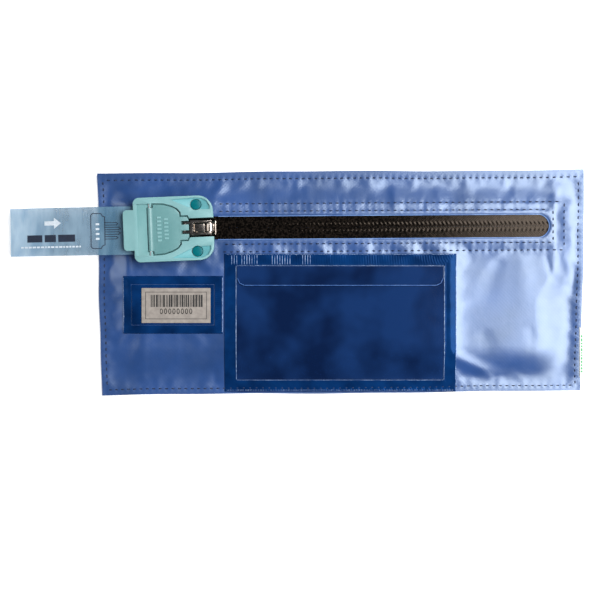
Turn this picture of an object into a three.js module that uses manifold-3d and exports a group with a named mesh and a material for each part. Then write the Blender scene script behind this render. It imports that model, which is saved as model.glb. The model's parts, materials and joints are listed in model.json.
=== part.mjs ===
// A zipped cash deposit bag lying flat, closed by a moulded lock with a hinged flap and a pull-out seal.
// Millimetres, +Z up. The origin is the centre of the back face, +X runs along the zip away from the lock.
import * as THREE from "three";
import { mergeVertices } from "three/addons/utils/BufferGeometryUtils.js";
import Module from "manifold-3d";

const wasm = await Module();
wasm.setup();

// The bag
const bagLength = 300;
const bagWidth = 138;
const clothThickness = 0.6;
const gap = 0.3; // between pieces that lie on each other
const cutLow = -5; // cutting prisms run from below everything to above everything
const cutHigh = 30;
const seamTop = 2 * clothThickness + gap;
const seamWidth = 4;
const slopeWidth = 12;
const slopeSteps = 4;
const plateauTop = 6.2; // top of the front panel away from the seams
const topFoldStep = 1.2; // the back layer shows this far past the front at the top edge

// Stitching
const threadWidth = 0.8;
const threadLow = 0.9; // above the front panel
const threadHigh = 1.3;
const seamStitchInset = 3;

// The zip
const zipTurn = THREE.MathUtils.degToRad(0.37);
const zipCentre = new THREE.Vector2(-75, 33.8); // a point on the zip's centre line
const slotHalfWidth = 7.1;
const slotStart = -25; // along the zip from zipCentre
const slotEnd = 204;
const tapeInner = 1.4;
const tapeOuter = 11.3;
const tapeStart = -46;
const tapeEnd = 208;
const tapeLow = plateauTop - 1.5;
const tapeHigh = plateauTop - 0.9;
const coilInner = 0.15;
const coilOuter = 3;
const coilLow = plateauTop - 3;
const coilHigh = plateauTop - 1.8;
const coilStart = -18;
const coilEnd = 203.5;
const stopLength = 2.2;
const stopInner = 0.4;
const bottomStopLength = 2.5;
const bottomStopHalf = 3.6;
const innerRowHalf = 10.2;
const innerRowEnd = 206.2;
const outerRowHalf = 14.9;
const outerRowEnd = 213;
const rowStart = -1.6;

// The slider, in the zip's own axes from zipCentre
const sliderStart = -22.4;
const sliderEnd = -2.4;
const sliderHalfWidth = 4.8;
const sliderTopLow = plateauTop - 0.6;
const sliderTopHigh = plateauTop + 0.6;
const sliderBottomLow = plateauTop - 4.5;
const sliderBottomHigh = plateauTop - 3.3;
const pullerPivot = new THREE.Vector2(-6, plateauTop + 5.8); // along the zip, and height
const pullerHalfThickness = 0.8;
const pullerBarRadius = 0.8;
const prongCentre = 2.9; // the puller's prongs, each side of the middle

// The lock, in its own axes from lockCentre
const lockTurn = THREE.MathUtils.degToRad(2.3);
const lockCentre = new THREE.Vector2(-103.1, 32.9);
const baseHalfLength = 24.6;
const baseHalfWidth = 19.8;
const baseLow = plateauTop + gap;
const baseHigh = plateauTop + 7.5;
const flapFloor = plateauTop + 4.8;
const flapLow = flapFloor + gap;
const flapHigh = plateauTop + 7.2;
const flapGap = 0.9; // between the flap's edge and the base, seen from above
const sunkenFloor = plateauTop + 6.3;
const hingeAlong = -14.5;
const hingeHeight = plateauTop + 5.9;
const barrelRadius = 1.6;
const barrelHalfLength = 13.35;
const pinRadius = 0.7;
const pinBore = 0.95;
const pinHalfLength = 15.9;
const rivetAlong = 14.1;
const rivetAcross = 14.35;
const rivetRadius = 3.2;
const headLow = plateauTop + 3.3; // underside of a rivet's head
const shankRadius = 2;
const plateLow = plateauTop - 2.9;
const plateHigh = plateauTop - 1.8;

// The seal
const sealTurn = THREE.MathUtils.degToRad(1);
const sealCentre = new THREE.Vector2(-127, 32.1);
const sealHalfWidth = 14.9;
const sealLow = plateauTop + 2.5;
const sealHigh = plateauTop + 3;
const slotLow = plateauTop + 2.2;
const slotHigh = plateauTop + 3.4;
const slotInnerEnd = -5.5; // in the lock's axes
const flagLength = 78.2; // from the lock's edge to the free end
const flagInserted = 7;
const tongueLength = 10;

// Label window and card pocket, as left, right, bottom and top edges
const labelOuter = [-135.3, -73.3, -31.8, 4];
const labelBand = 5.2;
const labelCard = [-123.6, -80.9, -25.1, -3.5];
const pocketOuter = [-72.5, 71.4, -68, 17.8];
const pocketBand = 7.5;
const pocketFlapDrop = 12.1;
const pocketFlapInset = 1.5;
const frameThickness = 0.8;

function coated(color, roughness) {
  return new THREE.MeshStandardMaterial({ color, roughness, metalness: 0 });
}

const cloth = coated("#3a5f9a", 0.45);
const weldBand = coated("#0e3b82", 0.25);
const clearFilm = new THREE.MeshStandardMaterial({
  color: "#1b335f",
  roughness: 0.15,
  transparent: true,
  opacity: 0.6,
});
const zipCloth = coated("#15110f", 0.8);
const mint = coated("#8fcac2", 0.4);
const teal = coated("#007f8c", 0.35);
const gunmetal = new THREE.MeshStandardMaterial({
  color: "#5a5450",
  roughness: 0.25,
  metalness: 1,
});
const steel = new THREE.MeshStandardMaterial({
  color: "#b9bcc0",
  roughness: 0.3,
  metalness: 1,
});
const flagFilm = coated("#8fb0d2", 0.3);
const tongueGrey = coated("#e4e9ee", 0.4);
const paper = coated("#bfb5ae", 0.8);
const thread = coated("#22406f", 0.7);
const whiteTag = coated("#eef0ea", 0.8);

function solidOf(geometry) {
  const bare = geometry.clone();
  bare.deleteAttribute("normal");
  bare.deleteAttribute("uv");
  const merged = mergeVertices(bare, 1e-4);
  return new wasm.Manifold(
    new wasm.Mesh({
      numProp: 3,
      vertProperties: new Float32Array(merged.attributes.position.array),
      triVerts: new Uint32Array(merged.index.array),
    }),
  );
}

function meshOf(name, solid, material) {
  const made = solid.getMesh();
  const geometry = new THREE.BufferGeometry();
  geometry.setAttribute("position", new THREE.BufferAttribute(made.vertProperties, 3));
  geometry.setIndex(new THREE.BufferAttribute(made.triVerts, 1));
  geometry.computeVertexNormals();
  const mesh = new THREE.Mesh(geometry, material);
  mesh.name = name;
  return mesh;
}

function joined(solids) {
  return solids.reduce((whole, next) => whole.add(next));
}

// An upright prism of a shape between two heights.
function prism(shape, low, high) {
  const geometry = new THREE.ExtrudeGeometry(shape, {
    depth: high - low,
    bevelEnabled: false,
    curveSegments: 6,
  });
  return solidOf(geometry.translate(0, 0, low));
}

function polygon(points) {
  return new THREE.Shape(points.map(([x, y]) => new THREE.Vector2(x, y)));
}

function rectangle(left, right, bottom, top) {
  return polygon([
    [left, bottom],
    [right, bottom],
    [right, top],
    [left, top],
  ]);
}

function roundedRectangle(left, right, bottom, top, radius) {
  const shape = new THREE.Shape();
  shape.absarc(right - radius, bottom + radius, radius, -Math.PI / 2, 0);
  shape.absarc(right - radius, top - radius, radius, 0, Math.PI / 2);
  shape.absarc(left + radius, top - radius, radius, Math.PI / 2, Math.PI);
  shape.absarc(left + radius, bottom + radius, radius, Math.PI, 1.5 * Math.PI);
  return shape;
}

function block(left, right, bottom, top, low, high) {
  return prism(rectangle(left, right, bottom, top), low, high);
}

function disc(x, y, radius, low, high) {
  return prism(new THREE.Shape().absarc(x, y, radius, 0, 2 * Math.PI), low, high);
}

// A round bar along the second axis, through a point of the first axis and a height.
function crossBar(along, height, radius, from, to) {
  const geometry = new THREE.CylinderGeometry(radius, radius, to - from, 20);
  return solidOf(geometry.translate(along, (from + to) / 2, height));
}

// A point given along and across a turned line.
function turnedPoint(centre, angle, along, across) {
  return new THREE.Vector2(along, across).rotateAround(new THREE.Vector2(), angle).add(centre);
}

function turnedShape(centre, angle, shape) {
  return new THREE.Shape(
    shape.getPoints(8).map((p) => turnedPoint(centre, angle, p.x, p.y)),
  );
}

function zipShape(shape) {
  return turnedShape(zipCentre, zipTurn, shape);
}

function zipBlock(start, end, inner, outer, low, high) {
  return prism(zipShape(rectangle(start, end, inner, outer)), low, high);
}

function turnedGroup(centre, angle, meshes) {
  const group = new THREE.Group();
  group.position.set(centre.x, centre.y, 0);
  group.rotation.z = angle;
  group.add(...meshes);
  return group;
}

// The outer face of the front panel: low along the seams, then a smooth rise to the plateau.
function rise(distance) {
  return THREE.MathUtils.smoothstep(distance, seamWidth, seamWidth + slopeWidth);
}

function panelTop(x, y) {
  const share = rise(bagLength / 2 - Math.abs(x)) * rise(bagWidth / 2 - Math.abs(y));
  return seamTop + (plateauTop - seamTop) * share;
}

function gridLines(half) {
  const inward = [half + 5, half];
  for (let i = 0; i <= slopeSteps; i++) {
    inward.push(half - seamWidth - (slopeWidth * i) / slopeSteps);
  }
  return [...inward.map((d) => -d), ...inward.reverse()];
}

const gridX = gridLines(bagLength / 2);
const gridY = gridLines(bagWidth / 2);

// A sheet that follows the front panel, from one lift above its outer face to another.
function panelSlab(low, high) {
  const positions = [];
  const faces = [];
  const columns = gridX.length;
  const rows = gridY.length;
  const at = (level, i, j) => (level * rows + j) * columns + i;
  for (const lift of [low, high]) {
    for (const y of gridY) {
      for (const x of gridX) {
        positions.push(x, y, panelTop(x, y) + lift);
      }
    }
  }
  const quad = (a, b, c, d) => faces.push(a, b, c, a, c, d);
  for (let j = 0; j < rows - 1; j++) {
    for (let i = 0; i < columns - 1; i++) {
      quad(at(1, i, j), at(1, i + 1, j), at(1, i + 1, j + 1), at(1, i, j + 1));
      quad(at(0, i, j), at(0, i, j + 1), at(0, i + 1, j + 1), at(0, i + 1, j));
    }
  }
  for (let i = 0; i < columns - 1; i++) {
    quad(at(0, i, 0), at(0, i + 1, 0), at(1, i + 1, 0), at(1, i, 0));
    quad(at(0, i + 1, rows - 1), at(0, i, rows - 1), at(1, i, rows - 1), at(1, i + 1, rows - 1));
  }
  for (let j = 0; j < rows - 1; j++) {
    quad(at(0, 0, j + 1), at(0, 0, j), at(1, 0, j), at(1, 0, j + 1));
    quad(at(0, columns - 1, j), at(0, columns - 1, j + 1), at(1, columns - 1, j + 1), at(1, columns - 1, j));
  }
  const geometry = new THREE.BufferGeometry();
  geometry.setAttribute("position", new THREE.Float32BufferAttribute(positions, 3));
  geometry.setIndex(faces);
  return solidOf(geometry);
}

// A piece of that sheet inside an outline.
function onPanel(shape, low, high) {
  return panelSlab(low, high).intersect(prism(shape, cutLow, cutHigh));
}

function bandOutline(outer, inner) {
  outer.holes.push(inner);
  return outer;
}

function backPanel() {
  const x = bagLength / 2;
  const y = bagWidth / 2;
  return block(-x, x, -y, y, 0, clothThickness);
}

function zipSlot() {
  const right = slotEnd - slotHalfWidth;
  const shape = new THREE.Shape();
  shape.moveTo(slotStart, -slotHalfWidth);
  shape.lineTo(right, -slotHalfWidth);
  shape.absarc(right, 0, slotHalfWidth, -Math.PI / 2, Math.PI / 2);
  shape.lineTo(slotStart, slotHalfWidth);
  return zipShape(shape);
}

function frontPanel() {
  const x = bagLength / 2;
  const y = bagWidth / 2;
  const outline = rectangle(-x, x, -y, y - topFoldStep);
  let panel = onPanel(outline, -clothThickness, 0).subtract(prism(zipSlot(), cutLow, cutHigh));
  for (const side of [-1, 1]) {
    const hole = turnedPoint(lockCentre, lockTurn, rivetAlong, side * rivetAcross);
    panel = panel.subtract(disc(hole.x, hole.y, shankRadius + gap, cutLow, cutHigh));
  }
  return panel;
}

function perimeterThread() {
  const x = bagLength / 2 - seamStitchInset;
  const y = bagWidth / 2 - seamStitchInset;
  const w = threadWidth;
  const band = bandOutline(
    rectangle(-x, x, -y, y - topFoldStep),
    rectangle(-x + w, x - w, -y + w, y - topFoldStep - w),
  );
  return onPanel(band, threadLow, threadHigh);
}

// A row of stitches along both sides of the zip and across its far end.
function zipThread(half, end) {
  const w = threadWidth;
  const shape = polygon([
    [rowStart, -half],
    [end, -half],
    [end, half],
    [rowStart, half],
    [rowStart, half - w],
    [end - w, half - w],
    [end - w, w - half],
    [rowStart, w - half],
  ]);
  return onPanel(zipShape(shape), threadLow, threadHigh);
}

function zipSides() {
  const pieces = [];
  for (const [name, side] of [
    ["upper", 1],
    ["lower", -1],
  ]) {
    const half = (start, end, inner, outer, low, high) =>
      side > 0
        ? zipBlock(start, end, inner, outer, low, high)
        : zipBlock(start, end, -outer, -inner, low, high);
    const stopEnd = sliderStart - gap;
    const tape = half(tapeStart, tapeEnd, tapeInner, tapeOuter, tapeLow, tapeHigh);
    const coil = half(coilStart, coilEnd, coilInner, coilOuter, coilLow, coilHigh);
    const stop = half(stopEnd - stopLength, stopEnd, stopInner, coilOuter, sliderBottomHigh, coilHigh);
    pieces.push(meshOf("zip_tape_" + name, tape, zipCloth));
    pieces.push(meshOf("zip_coil_" + name, coil, zipCloth));
    pieces.push(meshOf("zip_top_stop_" + name, stop, steel));
  }
  return pieces;
}

function zipBottomStop() {
  const start = coilEnd + gap;
  const end = start + bottomStopLength;
  return zipBlock(start, end, -bottomStopHalf, bottomStopHalf, sliderBottomHigh, coilHigh);
}

function sliderPlate(low, high) {
  const widest = sliderStart + 2;
  const shoulder = sliderStart + 7;
  const tail = sliderHalfWidth - 1;
  const shape = polygon([
    [sliderStart, -tail],
    [widest, -sliderHalfWidth],
    [shoulder, -sliderHalfWidth],
    [sliderEnd, -tail],
    [sliderEnd, tail],
    [shoulder, sliderHalfWidth],
    [widest, sliderHalfWidth],
    [sliderStart, tail],
  ]);
  return prism(shape, low, high);
}

// Two plates, the post that parts the coils, and the raised end flange.
function sliderBody() {
  const postStart = sliderStart + 0.6;
  const postLength = 3;
  const flangeThickness = 0.6;
  const flangeHalf = 4.4;
  const flangeTop = sliderTopHigh + 2.8;
  return joined([
    sliderPlate(sliderTopLow, sliderTopHigh),
    sliderPlate(sliderBottomLow, sliderBottomHigh),
    block(postStart, postStart + postLength, -1, 1, sliderBottomLow, sliderTopHigh),
    block(sliderEnd - flangeThickness, sliderEnd, -flangeHalf, flangeHalf, sliderTopLow, flangeTop),
  ]);
}

// The clipped-on cover: a strip with a hump, a web and a ring that holds the puller's bar.
function sliderBridge() {
  const halfWidth = 2.3;
  const low = sliderTopHigh + gap;
  const stripThickness = 1;
  const humpHeight = 3.3;
  const humpStart = sliderStart + 6.5;
  const humpEnd = pullerPivot.x - 3.4;
  const webHalf = 1.6;
  const ringRadius = 2.2;
  const boreRadius = pullerBarRadius + 0.35;
  const { x, y } = pullerPivot;
  return joined([
    block(sliderStart + 2, sliderEnd - 1, -halfWidth, halfWidth, low, low + stripThickness),
    block(humpStart, humpEnd, -halfWidth, halfWidth, low, low + humpHeight),
    block(x - webHalf, x + webHalf, -halfWidth, halfWidth, low, y),
    crossBar(x, y, ringRadius, -halfWidth, halfWidth),
  ]).subtract(crossBar(x, y, boreRadius, -halfWidth - 1, halfWidth + 1));
}

// A frame turning on its end bar, with two prongs that reach into the lock's flap.
function sliderPuller() {
  const low = pullerPivot.y - pullerHalfThickness;
  const high = pullerPivot.y + pullerHalfThickness;
  const start = -18;
  const end = -4.8;
  const halfWidth = 4.4;
  const rail = 1.3;
  const crossEnd = start + 1.7;
  const prongReach = 4.2;
  const prongHalf = 0.55;
  const barEnd = halfWidth - 0.2;
  const solids = [
    block(start, crossEnd, -halfWidth, halfWidth, low, high),
    crossBar(pullerPivot.x, pullerPivot.y, pullerBarRadius, -barEnd, barEnd),
  ];
  for (const side of [-1, 1]) {
    const centre = side * (halfWidth - rail / 2);
    const prong = side * prongCentre;
    solids.push(block(start, end, centre - rail / 2, centre + rail / 2, low, high));
    solids.push(block(start - prongReach, crossEnd, prong - prongHalf, prong + prongHalf, low, high));
  }
  return joined(solids);
}

function baseOutline() {
  const x = baseHalfLength;
  const y = baseHalfWidth;
  const far = 9;
  const near = 3.2;
  const cornerX = x - far - 0.4;
  const bulge = 0.15; // how far the end turns away from straight, in radians
  const shape = new THREE.Shape();
  shape.moveTo(-x + near, -y);
  shape.lineTo(cornerX, -y);
  shape.absarc(cornerX, -y + far, far, -Math.PI / 2, -bulge);
  shape.quadraticCurveTo(x + 0.4, 0, cornerX + far * Math.cos(bulge), y - far + far * Math.sin(bulge));
  shape.absarc(cornerX, y - far, far, bulge, Math.PI / 2);
  shape.lineTo(-x + near, y);
  shape.quadraticCurveTo(-x + 0.6, y - 0.6, -x, y - near);
  shape.lineTo(-x, -y + near);
  shape.quadraticCurveTo(-x + 0.6, -y + 0.6, -x + near, -y);
  return shape;
}

// The flap's tongue: wide at the hinge, drawn in to a neck over the slider.
function flapOutline(grow) {
  const start = hingeAlong + 2.1;
  const half = [
    [start - grow, 15.3 + grow],
    [-6.2, 14.9 + grow],
    [-1.2 + grow * 0.4, 13.4 + grow],
    [1.9 + grow * 0.7, 11.8 + grow * 0.7],
    [3.7 + grow, 9.6 + grow * 0.4],
    [3.8 + grow, 7.05 + grow],
    [8.4 + grow * 0.5, 7.05 + grow],
    [9.3 + grow, 4.9 + grow * 0.5],
  ];
  const mirrored = half.map(([u, v]) => [u, -v]);
  return polygon([...mirrored, ...half.reverse()]);
}

// The shallow facet round a rivet, on one side.
function facetOutline(side) {
  const points = [
    [-1.5, 17.9],
    [10.1, 12.6],
    [17.5, 11.3],
    [22.4, 11.2],
    [22.6, 13.4],
    [20.8, 16.6],
    [17.4, 18.3],
    [13, 18.7],
  ];
  return polygon(side > 0 ? points : points.map(([u, v]) => [u, -v]).reverse());
}

function lockBase() {
  const noseFar = -31;
  const noseNear = -22.6;
  const noseHalf = 12.5;
  const noseLow = slotHigh + 0.6;
  const noseHigh = baseHigh - 0.5;
  const sunkenFar = -22.4;
  const sunkenHalf = 16;
  const sealHalf = sealHalfWidth + 0.8;
  const barrelEnd = barrelHalfLength + gap;
  const pinEnd = pinHalfLength + gap;
  const facetDepth = 0.9;
  const notchStart = 5;
  const [notchBottom, notchTop] = [-5.7, 6.1];
  const above = baseHigh + 2;
  let base = joined([
    prism(baseOutline(), baseLow, baseHigh),
    prism(roundedRectangle(noseFar, noseNear, -noseHalf, noseHalf, 2.2), noseLow, noseHigh),
  ]);
  const cuts = [
    prism(flapOutline(flapGap), flapFloor, above),
    block(-baseHalfLength - 0.1, hingeAlong, -sunkenHalf, sunkenHalf, noseHigh, above),
    block(sunkenFar, hingeAlong, -sunkenHalf, sunkenHalf, sunkenFloor, above),
    crossBar(hingeAlong, hingeHeight, barrelRadius + gap, -barrelEnd, barrelEnd),
    block(hingeAlong, hingeAlong + 4, -barrelEnd, barrelEnd, flapFloor, above),
    crossBar(hingeAlong, hingeHeight, pinBore, -pinEnd, pinEnd),
    block(noseFar - 5, slotInnerEnd, -sealHalf, sealHalf, slotLow, slotHigh),
    block(notchStart, baseHalfLength + 5, notchBottom, notchTop, baseLow - 5, above),
  ];
  for (const side of [-1, 1]) {
    cuts.push(prism(facetOutline(side), baseHigh - facetDepth, above));
    cuts.push(disc(rivetAlong, side * rivetAcross, rivetRadius + gap, headLow - gap, above));
    cuts.push(disc(rivetAlong, side * rivetAcross, shankRadius + gap, baseLow - 1, above));
  }
  for (const cut of cuts) {
    base = base.subtract(cut);
  }
  return base;
}

function lockFlap() {
  const half = barrelHalfLength;
  const rootEnd = hingeAlong + 2.6;
  const root = block(hingeAlong, rootEnd, -half, half, flapLow + 0.2, flapHigh);
  const barrel = crossBar(hingeAlong, hingeHeight, barrelRadius, -half, half);
  const bore = crossBar(hingeAlong, hingeHeight, pinBore, -half - 1, half + 1);
  const notchStart = 4.6; // the notches take the puller's prongs
  const notchEnd = 12;
  const notchHalf = 1.1;
  const middle = 0.5;
  let flap = joined([prism(flapOutline(0), flapLow, flapHigh), root, barrel]).subtract(bore);
  for (const side of [-1, 1]) {
    const centre = middle + side * prongCentre;
    const [low, high] = [centre - notchHalf, centre + notchHalf];
    flap = flap.subtract(block(notchStart, notchEnd, low, high, flapLow - 1, flapHigh + 1));
  }
  return flap;
}

function hingePin() {
  return crossBar(hingeAlong, hingeHeight, pinRadius, -pinHalfLength, pinHalfLength);
}

// Head, shank through the base, cloth and plate, and the spread tail.
function rivet(side) {
  const across = side * rivetAcross;
  const headHigh = baseHigh - 0.2;
  const tailLow = plateLow - 1.1;
  const tailRadius = 3.4;
  return joined([
    disc(rivetAlong, across, rivetRadius, headLow, headHigh),
    disc(rivetAlong, across, shankRadius, tailLow, headHigh),
    disc(rivetAlong, across, tailRadius, tailLow, plateLow - gap),
  ]);
}

function backingPlate() {
  const margin = 1.5; // inside the base's outline
  const x = baseHalfLength - margin;
  const y = baseHalfWidth - margin;
  const notchStart = 1.5;
  const notchHalf = 6;
  let plate = prism(roundedRectangle(-x, x, -y, y, 3), plateLow, plateHigh);
  plate = plate.subtract(block(notchStart, x + 5, -notchHalf, notchHalf, cutLow, cutHigh));
  for (const side of [-1, 1]) {
    plate = plate.subtract(disc(rivetAlong, side * rivetAcross, shankRadius + gap, cutLow, cutHigh));
  }
  return plate;
}

// The film strip: flat through the lock's slot, then drooping past the bag's edge to its free end.
function sealFlag() {
  const flatEnd = -24;
  const droop = 4.5;
  const steps = 8;
  const line = [[flagInserted, 0]];
  for (let i = 0; i <= steps; i++) {
    const share = i / steps;
    line.push([flatEnd - share * (flagLength + flatEnd), -droop * share * share]);
  }
  const top = line.map(([x, z]) => [x, sealHigh + z]);
  const bottom = line.map(([x, z]) => [x, sealLow + z]).reverse();
  const geometry = new THREE.ExtrudeGeometry(polygon([...top, ...bottom]), {
    depth: 2 * sealHalfWidth,
    bevelEnabled: false,
  });
  geometry.rotateX(Math.PI / 2).translate(0, sealHalfWidth, 0);
  return solidOf(geometry);
}

// The moulded end of the seal: a bar with four barbed prongs, inside the lock.
function sealTongue() {
  const start = flagInserted + gap;
  const barLength = 4;
  const barHalf = 11;
  const prongs = 4;
  const prongPitch = 5.6;
  const prongHalf = 1.3;
  const barb = prongHalf + 0.6;
  const end = start + tongueLength;
  const neck = end - 2.5;
  const solids = [block(start, start + barLength, -barHalf, barHalf, sealLow, sealHigh)];
  for (let i = 0; i < prongs; i++) {
    const centre = (i - (prongs - 1) / 2) * prongPitch;
    const tip = polygon([
      [start + 1, centre - prongHalf],
      [neck, centre - prongHalf],
      [neck, centre - barb],
      [end, centre],
      [neck, centre + barb],
      [neck, centre + prongHalf],
      [start + 1, centre + prongHalf],
    ]);
    solids.push(prism(tip, sealLow, sealHigh));
  }
  return joined(solids);
}

function inset([left, right, bottom, top], by) {
  return [left + by, right - by, bottom + by, top - by];
}

function weldFrame(outer, band, radius) {
  const shape = bandOutline(
    roundedRectangle(...outer, radius),
    roundedRectangle(...inset(outer, band), radius / 2),
  );
  return onPanel(shape, gap, gap + frameThickness);
}

// The pocket's frame is thin where the seam stitches run over it.
function pocketFrame() {
  const [left, right, bottom] = pocketOuter;
  const stitched = bottom + 3.4;
  const thick = weldFrame(pocketOuter, pocketBand, 2).subtract(
    block(left - 5, right + 5, bottom - 5, stitched, cutLow, cutHigh),
  );
  const hem = onPanel(rectangle(left, right, bottom, stitched + 0.5), gap, gap + 0.3);
  return thick.add(hem);
}

function pocketFilm() {
  const [left, right, bottom, top] = inset(pocketOuter, pocketBand + gap);
  return onPanel(rectangle(left, right, bottom, top - pocketFlapDrop + 4.4), 0.5, 0.9);
}

function pocketFlap() {
  const [left, right, , top] = inset(pocketOuter, pocketBand + gap);
  const shape = roundedRectangle(
    left + pocketFlapInset,
    right - pocketFlapInset,
    top - pocketFlapDrop,
    top,
    2.5,
  );
  return prism(shape, plateauTop + 1.3, plateauTop + 1.7);
}

function labelFilm() {
  return onPanel(rectangle(...inset(labelOuter, labelBand + gap)), 0.9, 1.2);
}

// A folded woven tag caught in the end seam.
function sideLabel() {
  const edge = bagLength / 2;
  const low = -58.9;
  const high = -27.6;
  const leaf = polygon([
    [edge - 1.4, low],
    [edge + 1.6, low],
    [edge + 1.6, high - 3],
    [edge - 1.4, high],
  ]);
  return joined([
    prism(leaf, seamTop + gap, seamTop + gap + 0.4),
    block(edge + 0.4, edge + 1.6, low, high - 3, 0.4, seamTop + gap + 0.1),
  ]);
}

const bag = new THREE.Group();
bag.name = "cash_deposit_bag";
bag.add(
  meshOf("back_panel", backPanel(), cloth),
  meshOf("front_panel", frontPanel(), cloth),
  meshOf("perimeter_thread", perimeterThread(), thread),
  meshOf("zip_thread_inner", zipThread(innerRowHalf, innerRowEnd), thread),
  meshOf("zip_thread_outer", zipThread(outerRowHalf, outerRowEnd), thread),
  ...zipSides(),
  meshOf("zip_bottom_stop", zipBottomStop(), steel),
  meshOf("label_window_frame", weldFrame(labelOuter, labelBand, 1.5), weldBand),
  meshOf("label_window_film", labelFilm(), clearFilm),
  meshOf("barcode_label", onPanel(rectangle(...labelCard), gap, gap + 0.2), paper),
  meshOf("card_pocket_frame", pocketFrame(), weldBand),
  meshOf("card_pocket_film", pocketFilm(), clearFilm),
  meshOf("card_pocket_flap", pocketFlap(), clearFilm),
  meshOf("side_label", sideLabel(), whiteTag),
  turnedGroup(zipCentre, zipTurn, [
    meshOf("slider_body", sliderBody(), gunmetal),
    meshOf("slider_bridge", sliderBridge(), gunmetal),
    meshOf("slider_puller", sliderPuller(), gunmetal),
  ]),
  turnedGroup(lockCentre, lockTurn, [
    meshOf("lock_base", lockBase(), mint),
    meshOf("lock_flap", lockFlap(), mint),
    meshOf("flap_hinge_pin", hingePin(), steel),
    meshOf("rivet_upper", rivet(1), teal),
    meshOf("rivet_lower", rivet(-1), teal),
    meshOf("lock_backing_plate", backingPlate(), mint),
  ]),
  turnedGroup(sealCentre, sealTurn, [
    meshOf("seal_flag", sealFlag(), flagFilm),
    meshOf("seal_tongue", sealTongue(), tongueGrey),
  ]),
);

export default bag;
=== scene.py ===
"""A zipped cash deposit bag: coated cloth, a moulded lock on the zip, clear windows and a film seal.

Shapes are worked out in millimetres in the frame's own axes and scaled to metres when a mesh is made.
"""
import json
import math
import random

import bmesh
import bpy
import numpy as np
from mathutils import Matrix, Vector

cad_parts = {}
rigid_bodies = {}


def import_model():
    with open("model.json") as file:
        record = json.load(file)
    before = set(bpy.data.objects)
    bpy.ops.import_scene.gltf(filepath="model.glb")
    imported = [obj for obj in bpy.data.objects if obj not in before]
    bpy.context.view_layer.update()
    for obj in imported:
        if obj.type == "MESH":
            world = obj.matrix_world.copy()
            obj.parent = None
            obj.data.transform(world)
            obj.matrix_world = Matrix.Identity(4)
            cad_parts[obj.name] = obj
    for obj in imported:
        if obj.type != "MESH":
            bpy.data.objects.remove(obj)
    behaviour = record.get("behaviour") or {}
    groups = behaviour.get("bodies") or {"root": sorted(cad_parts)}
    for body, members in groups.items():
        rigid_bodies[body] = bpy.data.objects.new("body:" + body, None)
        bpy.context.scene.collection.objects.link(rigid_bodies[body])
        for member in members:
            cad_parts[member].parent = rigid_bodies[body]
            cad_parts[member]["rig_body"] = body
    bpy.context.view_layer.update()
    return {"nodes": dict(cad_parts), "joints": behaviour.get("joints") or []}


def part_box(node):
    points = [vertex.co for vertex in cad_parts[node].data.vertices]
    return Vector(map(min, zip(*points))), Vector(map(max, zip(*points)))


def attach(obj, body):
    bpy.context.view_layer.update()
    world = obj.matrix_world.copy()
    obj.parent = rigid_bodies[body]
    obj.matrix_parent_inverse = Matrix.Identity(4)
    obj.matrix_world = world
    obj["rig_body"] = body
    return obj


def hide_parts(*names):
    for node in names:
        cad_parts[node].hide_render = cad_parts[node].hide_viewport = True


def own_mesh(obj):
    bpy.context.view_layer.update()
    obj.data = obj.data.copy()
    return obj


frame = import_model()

MM = 0.001
JOINTS = {j["name"]: j for j in frame["joints"]}


def box(node):
    low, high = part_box(node)
    return np.array(low) / MM, np.array(high) / MM


# --- places from the frame
BACK_LOW, BACK_HIGH = box("back_panel")
FRONT_LOW, FRONT_HIGH = box("front_panel")
CLOTH = BACK_HIGH[2]
SEAM_TOP = FRONT_LOW[2] + CLOTH
PLATEAU = FRONT_HIGH[2]
HALF_LENGTH = FRONT_HIGH[0]
HALF_WIDTH = BACK_HIGH[1]
FRONT_WIDTH = FRONT_HIGH[1] - FRONT_LOW[1]
STITCH_PITCH = 4.0
SEAM_WIDTH = 4.0
SHORT_RISE = 15.0
LONG_RISE = 26.0


class Directions:
    """A place on the bag, with the direction that a part runs in and the one across it."""

    def __init__(self, origin, along):
        self.origin = np.array(origin[:2])
        self.along = np.array(along)
        self.across = np.array([-self.along[1], self.along[0]])

    def point(self, along, across):
        """The points that lie so far along and across."""
        return self.origin + np.multiply.outer(along, self.along) + np.multiply.outer(across, self.across)

    def measure(self, x, y):
        """How far points lie along and across."""
        dx, dy = x - self.origin[0], y - self.origin[1]
        return dx * self.along[0] + dy * self.along[1], dx * self.across[0] + dy * self.across[1]


def pivot(joint):
    return np.array(JOINTS[joint]["pos_m"]) / MM


HINGE_AXIS = JOINTS["flap_hinge"]["axis"]
ZIP = Directions(pivot("puller_swing"), JOINTS["slider_travel"]["axis"][:2])
LOCK = Directions(pivot("flap_hinge"), (-HINGE_AXIS[1], HINGE_AXIS[0]))
SEAL = Directions((-127.0, 32.1), -np.array(JOINTS["seal_pull"]["axis"][:2]))

SLOT_HALF = 7.1
SLOT_START = -19.0
SLOT_END = (box("zip_coil_upper")[1][0] - ZIP.origin[0]) + 0.5
INNER_ROW = 10.2
OUTER_ROW = 14.9
ROW_START = 4.6
INNER_ROW_END = SLOT_END + 2.2
OUTER_ROW_END = SLOT_END + 9.0


# --- camera, floor and light
def look(obj, target):
    direction = Vector(target) - obj.location
    obj.rotation_euler = direction.to_track_quat("-Z", "Y").to_euler()


def add_camera():
    """Straight above the bag, with the seal at the left, as on a copy stand."""
    view_centre = (-0.0255, -0.0109)
    height = 0.884
    data = bpy.data.cameras.new("camera")
    data.lens = 85
    data.sensor_width = 36
    camera = bpy.data.objects.new("camera", data)
    camera.location = (*view_centre, height)
    bpy.context.scene.collection.objects.link(camera)
    bpy.context.scene.camera = camera


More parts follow.
